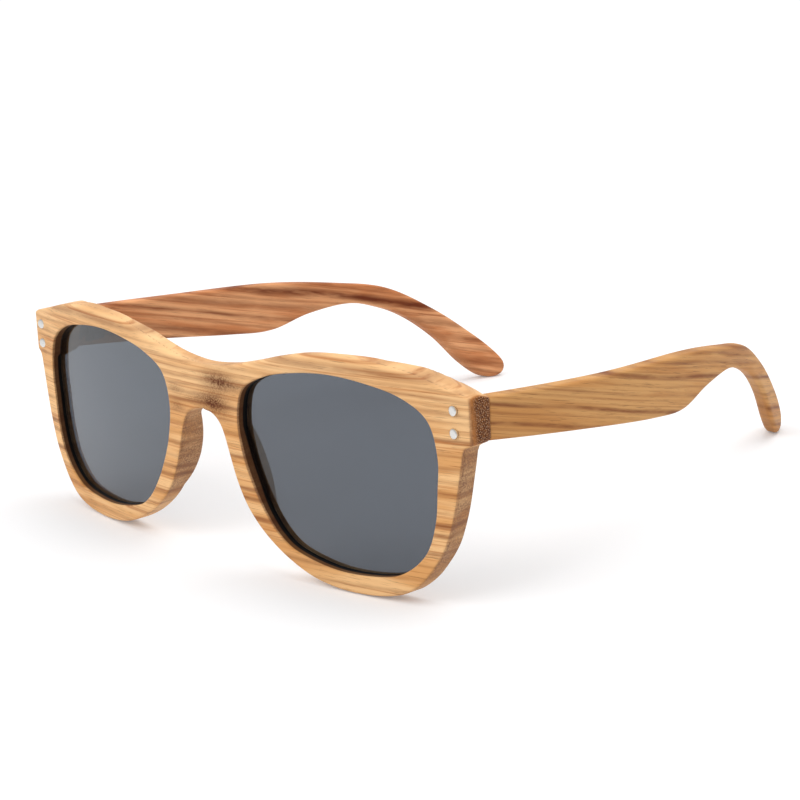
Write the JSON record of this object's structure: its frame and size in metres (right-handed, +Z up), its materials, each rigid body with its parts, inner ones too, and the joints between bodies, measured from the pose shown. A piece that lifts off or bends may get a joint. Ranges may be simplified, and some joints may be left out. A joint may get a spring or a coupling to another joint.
{
  "type": "wooden sunglasses",
  "caption": "Wooden sunglasses with a bent striped-wood front, grey lenses, riveted end blocks and bowed temples that fold in on sprung hinges.",
  "frame": {"origin": "middle of the bounding box at the ground, with the glasses standing open on their lower rims and temple tips", "axes": "the front faces -Y, the temples run back along +Y, +X is the wearer's left and +Z is up"},
  "size_m": [0.1378, 0.1294, 0.0464],
  "materials": {
    "front_wood": "satin oiled zebrawood",
    "temple_wood": "satin oiled zebrawood",
    "lens_tint": "polished grey tint",
    "hinge_steel": "brushed",
    "housing_steel": "brushed",
    "rivet_steel": "polished",
    "screw_steel": "turned",
    "spring_steel": "drawn wire"
  },
  "bodies": {
    "front": {"front_frame": "front_wood", "left_lens": "lens_tint", "right_lens": "lens_tint", "left_front_leaf": "hinge_steel", "right_front_leaf": "hinge_steel", "left_front_rivets": "rivet_steel", "right_front_rivets": "rivet_steel", "left_hinge_screw": "screw_steel", "right_hinge_screw": "screw_steel"},
    "left_slider": {"left_hinge_slider": "hinge_steel", "left_spring_stop": "hinge_steel", "left_hinge_spring": "spring_steel"},
    "left_temple": {"left_temple": "temple_wood", "left_spring_housing": "housing_steel", "left_housing_screws": "screw_steel"},
    "right_slider": {"right_hinge_slider": "hinge_steel", "right_spring_stop": "hinge_steel", "right_hinge_spring": "spring_steel"},
    "right_temple": {"right_temple": "temple_wood", "right_spring_housing": "housing_steel", "right_housing_screws": "screw_steel"}
  },
  "joints": [
    {"name": "left_fold", "type": "hinge", "parent": "front", "child": "left_slider", "pos_m": [0.06285, -0.04805, 0.0357], "axis": [0, 0.0476, 0.9989], "range_deg": [0, 75]},
    {"name": "left_spring_slide", "type": "slide", "parent": "left_slider", "child": "left_temple", "axis": [0.1028, 0.9936, -0.0473], "range_m": [0, 0.0015], "stiffness_N_per_m": 2000, "springref_m": -0.001, "deforming": ["left_hinge_spring"]},
    {"name": "right_fold", "type": "hinge", "parent": "front", "child": "right_slider", "pos_m": [-0.06285, -0.04805, 0.0357], "axis": [0, -0.0476, -0.9989], "range_deg": [0, 81]},
    {"name": "right_spring_slide", "type": "slide", "parent": "right_slider", "child": "right_temple", "axis": [-0.1028, 0.9936, -0.0473], "range_m": [0, 0.0015], "stiffness_N_per_m": 2000, "springref_m": -0.001, "deforming": ["right_hinge_spring"]}
  ]
}
